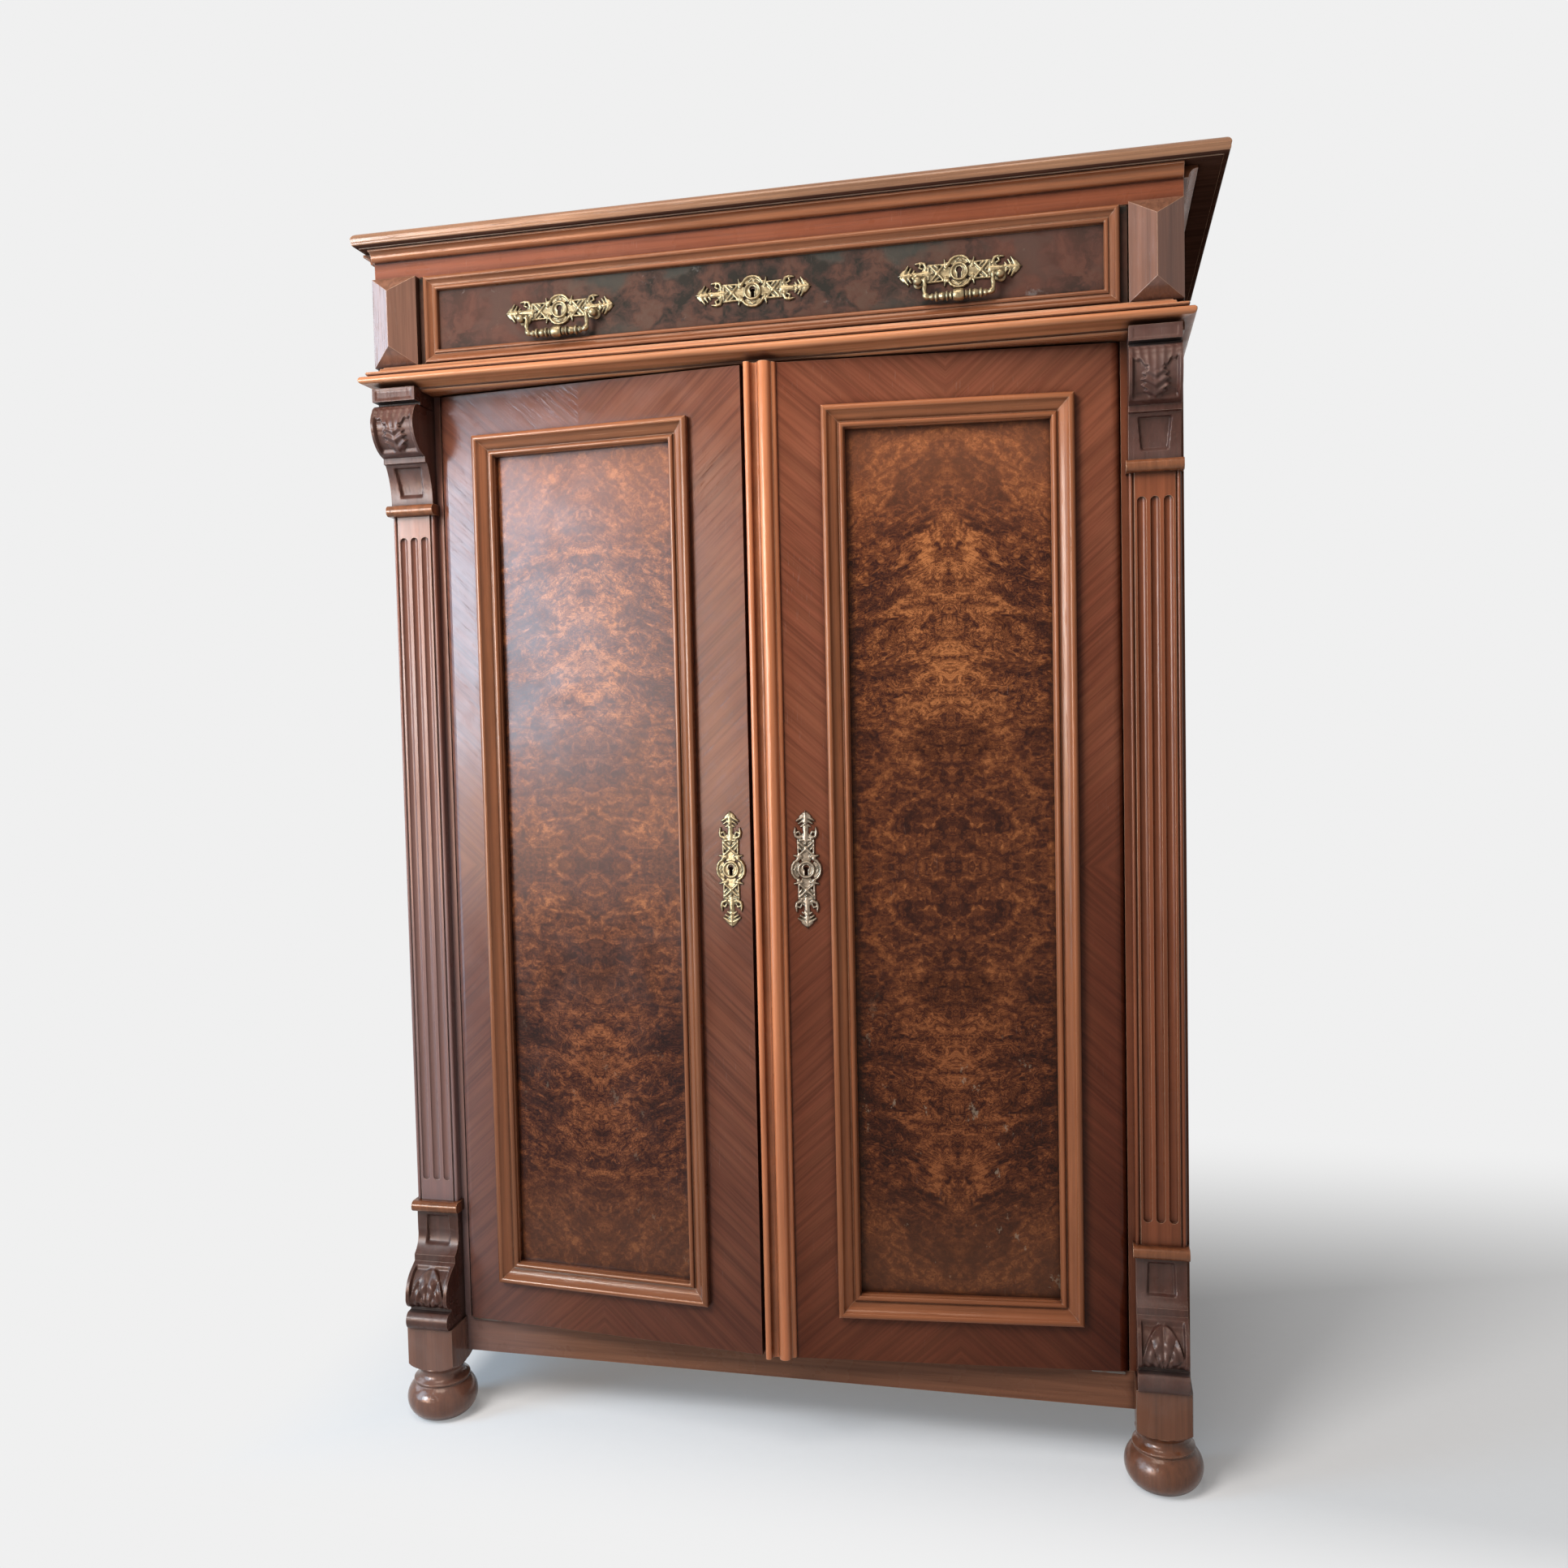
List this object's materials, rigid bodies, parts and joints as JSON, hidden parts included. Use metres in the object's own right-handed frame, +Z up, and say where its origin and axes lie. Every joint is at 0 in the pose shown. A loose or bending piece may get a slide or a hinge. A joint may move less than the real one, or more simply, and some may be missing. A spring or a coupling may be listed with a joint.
{
  "type": "two-door cupboard with drawer",
  "caption": "Tall panelled cupboard on bun feet, with fluted pilasters, carved scroll brackets, a drawer below the moulded top and doors that stand ajar.",
  "frame": {"origin": "middle of the floor area under the whole piece, its top board and mouldings included", "axes": "+Z up, -Y out of the front, +X to the right as the front is looked at"},
  "size_m": [0.986, 0.515, 1.4305],
  "materials": {
    "moulding_wood": "polished red-brown walnut mouldings",
    "console_wood": "polished dark red-brown carved wood",
    "post_wood": "polished dark red-brown wood",
    "frieze_wood": "polished dark red wood",
    "rail_veneer": "polished walnut veneer",
    "door_veneer": "polished walnut veneer laid on the slant",
    "door_burl": "polished book-matched burr walnut",
    "drawer_burl": "polished dark burr walnut",
    "side_wood": "polished stained wood",
    "top_wood": "polished walnut with a lighter edge",
    "inside_pine": "bare softwood",
    "cast_brass": "old lacquered cast brass",
    "hinge_iron": "dull worn iron",
    "lock_iron": "dull worn iron"
  },
  "bodies": {
    "carcass": {"back_boards": "inside_pine", "bottom_board": "inside_pine", "bottom_rail": "rail_veneer", "cornice_moulding": "moulding_wood", "drawer_guides": "inside_pine", "dust_board": "inside_pine", "frieze_rail": "frieze_wood", "front_legs": "moulding_wood", "front_post_left": "post_wood", "front_post_right": "post_wood", "lower_consoles": "console_wood", "pilaster_collars": "moulding_wood", "pilasters": "post_wood", "pivot_sockets": "hinge_iron", "pyramid_block_left": "moulding_wood", "pyramid_block_right": "moulding_wood", "rear_legs": "moulding_wood", "shelf_battens": "inside_pine", "shelves": "inside_pine", "side_frame_left": "side_wood", "side_frame_right": "side_wood", "side_panels": "side_wood", "top_board": "top_wood", "top_cleats": "moulding_wood", "upper_consoles": "console_wood", "waist_moulding_front": "moulding_wood", "waist_moulding_sides": "moulding_wood", "waist_rail": "moulding_wood"},
    "drawer": {"drawer_front": "drawer_burl", "drawer_moulding": "moulding_wood", "drawer_sides": "inside_pine", "drawer_back": "inside_pine", "drawer_bottom": "inside_pine", "drawer_lock": "lock_iron", "drawer_escutcheon": "cast_brass", "pull_plates": "cast_brass"},
    "drawer_bolt": {"drawer_lock_bolt": "lock_iron"},
    "left_bail": {"bail_left": "cast_brass"},
    "right_bail": {"bail_right": "cast_brass"},
    "left_door": {"left_door_frame": "door_veneer", "left_door_panel": "door_burl", "left_door_moulding": "moulding_wood", "left_door_pivots": "hinge_iron", "left_door_escutcheon": "cast_brass", "foot_bolt_staples": "lock_iron"},
    "left_foot_bolt": {"foot_bolt": "lock_iron"},
    "right_door": {"right_door_frame": "door_veneer", "right_door_panel": "door_burl", "right_door_moulding": "moulding_wood", "right_door_pivots": "hinge_iron", "right_door_escutcheon": "cast_brass", "door_astragal": "moulding_wood", "door_lock": "lock_iron"},
    "right_lock_bolt": {"door_lock_bolt": "lock_iron"}
  },
  "joints": [
    {"name": "drawer_slide", "type": "slide", "parent": "carcass", "child": "drawer", "axis": [0, -1, 0], "range_m": [0, 0.3]},
    {"name": "drawer_bolt_slide", "type": "slide", "parent": "drawer", "child": "drawer_bolt", "axis": [0, 0, 1], "range_m": [0, 0.008]},
    {"name": "left_bail_hinge", "type": "hinge", "parent": "drawer", "child": "left_bail", "pos_m": [-0.24389, -0.2382, 1.31872], "axis": [-1, 0, 0], "range_deg": [0, 85]},
    {"name": "right_bail_hinge", "type": "hinge", "parent": "drawer", "child": "right_bail", "pos_m": [0.21489, -0.2382, 1.31872], "axis": [-1, 0, 0], "range_deg": [0, 85]},
    {"name": "left_door_hinge", "type": "hinge", "parent": "carcass", "child": "left_door", "pos_m": [-0.4, -0.1965, 0.1188], "axis": [0, 0, -1], "range_deg": [-5, 76]},
    {"name": "left_foot_bolt_slide", "type": "slide", "parent": "left_door", "child": "left_foot_bolt", "axis": [0, 0, -1], "range_m": [0, 0.01]},
    {"name": "right_door_hinge", "type": "hinge", "parent": "carcass", "child": "right_door", "pos_m": [0.371, -0.1965, 0.1188], "axis": [0, 0, 1], "range_deg": [-5, 76]},
    {"name": "right_lock_bolt_slide", "type": "slide", "parent": "right_door", "child": "right_lock_bolt", "axis": [-0.9962, -0.0872, 0], "range_m": [0, 0.007]}
  ]
}
